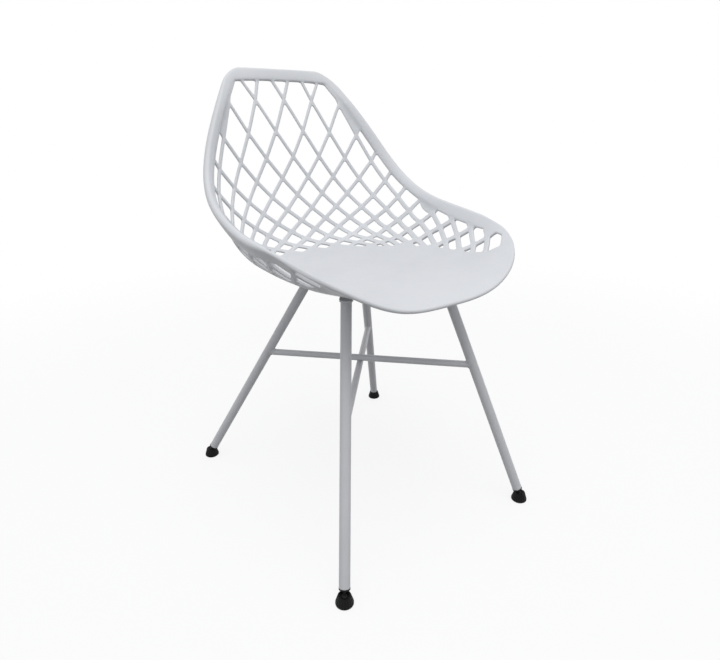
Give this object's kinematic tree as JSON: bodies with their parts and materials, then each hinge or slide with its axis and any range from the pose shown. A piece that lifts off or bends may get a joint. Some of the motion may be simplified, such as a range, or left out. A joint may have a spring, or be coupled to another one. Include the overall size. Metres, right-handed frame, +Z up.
{
  "type": "lattice shell dining chair",
  "caption": "Dining chair: a white moulded bucket shell with a lattice back and wings, on splayed white tube legs braced by crossed rods, with tilting black feet.",
  "frame": {"origin": "on the floor under the middle of the chair's outline", "axes": "+Z up, -Y the way the sitter faces, +X to the sitter's left"},
  "size_m": [0.4914, 0.543, 0.804],
  "materials": {
    "shell": "satin, finely grained white polypropylene",
    "frame": "white powder coat",
    "foot": "black nylon, slightly shiny",
    "screw": "zinc plated",
    "insert": "plain"
  },
  "bodies": {
    "chair": {"seat_shell": "shell", "leg_front_left": "frame", "leg_plate_front_left": "frame", "foot_plug_front_left": "foot", "leg_front_right": "frame", "leg_plate_front_right": "frame", "foot_plug_front_right": "foot", "leg_rear_left": "frame", "leg_plate_rear_left": "frame", "foot_plug_rear_left": "foot", "leg_rear_right": "frame", "leg_plate_rear_right": "frame", "foot_plug_rear_right": "foot", "stretcher_upper": "frame", "stretcher_lower": "frame", "plate_screws": "screw", "shell_inserts": "insert"},
    "foot_front_left": {"foot_pad_front_left": "foot"},
    "foot_front_right": {"foot_pad_front_right": "foot"},
    "foot_rear_left": {"foot_pad_rear_left": "foot"},
    "foot_rear_right": {"foot_pad_rear_right": "foot"}
  },
  "joints": [
    {"name": "foot_tilt_front_left", "type": "hinge", "parent": "chair", "child": "foot_front_left", "pos_m": [0.209, -0.2567, 0.012], "axis": [0.7939, 0.6081, 0], "range_deg": [-57.5, 13]},
    {"name": "foot_tilt_front_right", "type": "hinge", "parent": "chair", "child": "foot_front_right", "pos_m": [-0.209, -0.2567, 0.012], "axis": [0.7939, -0.6081, 0], "range_deg": [-57.5, 13]},
    {"name": "foot_tilt_rear_left", "type": "hinge", "parent": "chair", "child": "foot_rear_left", "pos_m": [0.231, 0.2523, 0.012], "axis": [-0.743, 0.6692, 0], "range_deg": [-66.5, 4]},
    {"name": "foot_tilt_rear_right", "type": "hinge", "parent": "chair", "child": "foot_rear_right", "pos_m": [-0.231, 0.2523, 0.012], "axis": [-0.743, -0.6692, 0], "range_deg": [-66.5, 4]}
  ]
}
